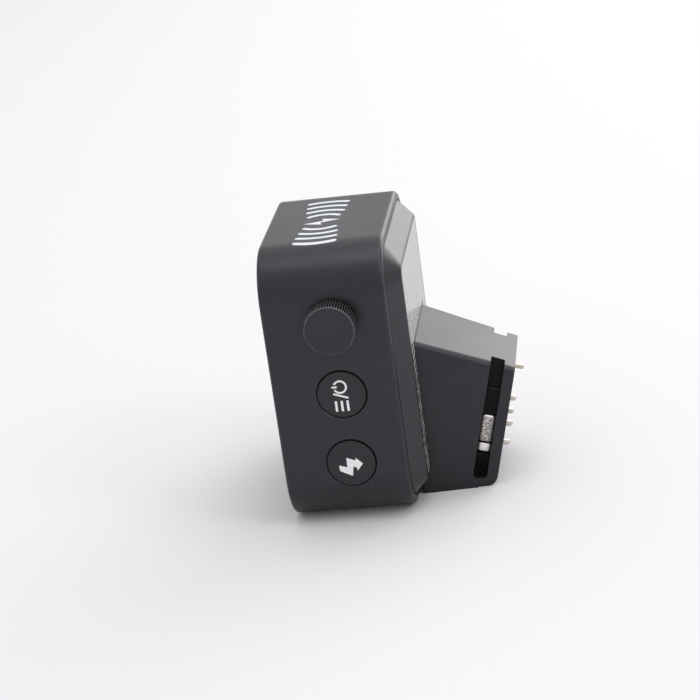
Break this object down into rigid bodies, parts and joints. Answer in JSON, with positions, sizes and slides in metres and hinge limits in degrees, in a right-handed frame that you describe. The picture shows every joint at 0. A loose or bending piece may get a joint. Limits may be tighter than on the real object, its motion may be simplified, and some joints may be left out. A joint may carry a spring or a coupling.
{
  "type": "wireless flash trigger",
  "caption": "Pocket radio flash trigger: rounded slab with touch screen, side dial and buttons, and a wedge block ending in a tilted camera accessory foot with sprung contacts.",
  "frame": {"origin": "middle of the footprint of the bounding box, on the surface that the slab and the shoe block stand on", "axes": "+Z along the slab's long side, +X from the screen towards the accessory foot, -Y towards the dial and buttons"},
  "size_m": [0.0428, 0.0466, 0.0504],
  "materials": {
    "housing_plastic": "fine spark-textured matte charcoal",
    "cover_plastic": "fine spark-textured matte charcoal",
    "shoe_plastic": "satin moulded charcoal",
    "knob_plastic": "matte, knurled side",
    "button_plastic": "matte with a soft edge",
    "touch_glass": "polished, black border behind",
    "adhesive": "black foam tape",
    "lcd": "dark display stack",
    "frame_alloy": "cast, satin",
    "board": "solder mask",
    "flex": "polyimide film",
    "cell": "pouch foil",
    "shield": "tinned shield",
    "antenna": "stamped strip",
    "black_plastic": "moulded black",
    "label": "silver satin film",
    "screw_steel": "blackened steel",
    "spring_steel": "bright wire",
    "contact_gold": "pale gold plate, polished tip",
    "lock_brass": "turned",
    "nickel": "brushed nickel strip",
    "switch_metal": "stamped can",
    "socket_steel": "drawn shell"
  },
  "bodies": {
    "slab": {"main_housing": "housing_plastic", "back_cover": "cover_plastic", "touch_glass": "touch_glass", "glass_adhesive": "adhesive", "lcd_panel": "lcd", "mid_frame": "frame_alloy", "frame_screws": "screw_steel", "main_pcb": "board", "side_pcb": "board", "display_flex": "flex", "battery": "cell", "rf_module": "shield", "antenna": "antenna", "buzzer": "black_plastic", "label_plate": "label", "case_screws": "screw_steel", "shoe_screws": "screw_steel", "shoe_block": "shoe_plastic", "pin_carrier": "black_plastic", "contact_pcb": "board", "shoe_flex": "flex", "centre_spring": "spring_steel", "spring_a_near": "spring_steel", "spring_a_far": "spring_steel", "spring_b_near": "spring_steel", "spring_b_far": "spring_steel", "lock_pin_spring": "spring_steel", "lock_pin_retainer": "screw_steel", "encoder_body": "black_plastic", "mode_switch": "switch_metal", "test_switch": "switch_metal", "usb_c_socket": "socket_steel", "usb_c_tongue": "black_plastic", "sync_jack": "black_plastic"},
    "dial_plunger": {"encoder_plunger": "black_plastic"},
    "dial": {"dial_knob": "knob_plastic", "encoder_shaft": "screw_steel"},
    "mode_button": {"mode_button": "button_plastic", "mode_actuator": "black_plastic"},
    "test_button": {"test_button": "button_plastic", "test_actuator": "black_plastic"},
    "centre_contact": {"centre_contact": "contact_gold"},
    "contact_a_near": {"contact_a_near": "contact_gold"},
    "contact_a_far": {"contact_a_far": "contact_gold"},
    "contact_b_near": {"contact_b_near": "contact_gold"},
    "contact_b_far": {"contact_b_far": "contact_gold"},
    "lock_pin": {"lock_pin": "lock_brass"},
    "ground_spring_near": {"ground_spring_near": "nickel"},
    "ground_spring_far": {"ground_spring_far": "nickel"}
  },
  "joints": [
    {"name": "dial_press", "type": "slide", "parent": "slab", "child": "dial_plunger", "axis": [0, 1, 0], "range_m": [0, 0.00035], "stiffness_N_per_m": 600, "springref_m": -0.0008},
    {"name": "dial_turn", "type": "hinge", "parent": "dial_plunger", "child": "dial", "pos_m": [-0.00921, -0.01928, 0.038], "axis": [0, 1, 0], "continuous": true},
    {"name": "mode_press", "type": "slide", "parent": "slab", "child": "mode_button", "axis": [0, 1, 0], "range_m": [0, 0.0004], "stiffness_N_per_m": 500, "springref_m": -0.001},
    {"name": "test_press", "type": "slide", "parent": "slab", "child": "test_button", "axis": [0, 1, 0], "range_m": [0, 0.0004], "stiffness_N_per_m": 500, "springref_m": -0.001},
    {"name": "centre_contact_push", "type": "slide", "parent": "slab", "child": "centre_contact", "axis": [-0.9677, 0, 0.2521], "range_m": [0, 0.0011], "stiffness_N_per_m": 200, "springref_m": -0.001, "deforming": ["centre_spring"]},
    {"name": "contact_a_near_push", "type": "slide", "parent": "slab", "child": "contact_a_near", "axis": [-0.9677, 0, 0.2521], "range_m": [0, 0.0011], "stiffness_N_per_m": 200, "springref_m": -0.001, "deforming": ["spring_a_near"]},
    {"name": "contact_a_far_push", "type": "slide", "parent": "slab", "child": "contact_a_far", "axis": [-0.9677, 0, 0.2521], "range_m": [0, 0.0011], "stiffness_N_per_m": 200, "springref_m": -0.001, "deforming": ["spring_a_far"]},
    {"name": "contact_b_near_push", "type": "slide", "parent": "slab", "child": "contact_b_near", "axis": [-0.9677, 0, 0.2521], "range_m": [0, 0.0011], "stiffness_N_per_m": 200, "springref_m": -0.001, "deforming": ["spring_b_near"]},
    {"name": "contact_b_far_push", "type": "slide", "parent": "slab", "child": "contact_b_far", "axis": [-0.9677, 0, 0.2521], "range_m": [0, 0.0011], "stiffness_N_per_m": 200, "springref_m": -0.001, "deforming": ["spring_b_far"]},
    {"name": "lock_pin_push", "type": "slide", "parent": "slab", "child": "lock_pin", "axis": [-0.9677, 0, 0.2521], "range_m": [0, 0.0018], "stiffness_N_per_m": 200, "springref_m": -0.001, "deforming": ["lock_pin_spring"]},
    {"name": "ground_near_flex", "type": "slide", "parent": "slab", "child": "ground_spring_near", "axis": [0, 1, 0], "range_m": [0, 0.0002], "stiffness_N_per_m": 1500, "springref_m": -0.0003},
    {"name": "ground_far_flex", "type": "slide", "parent": "slab", "child": "ground_spring_far", "axis": [0, -1, 0], "range_m": [0, 0.0002], "stiffness_N_per_m": 1500, "springref_m": -0.0003}
  ]
}
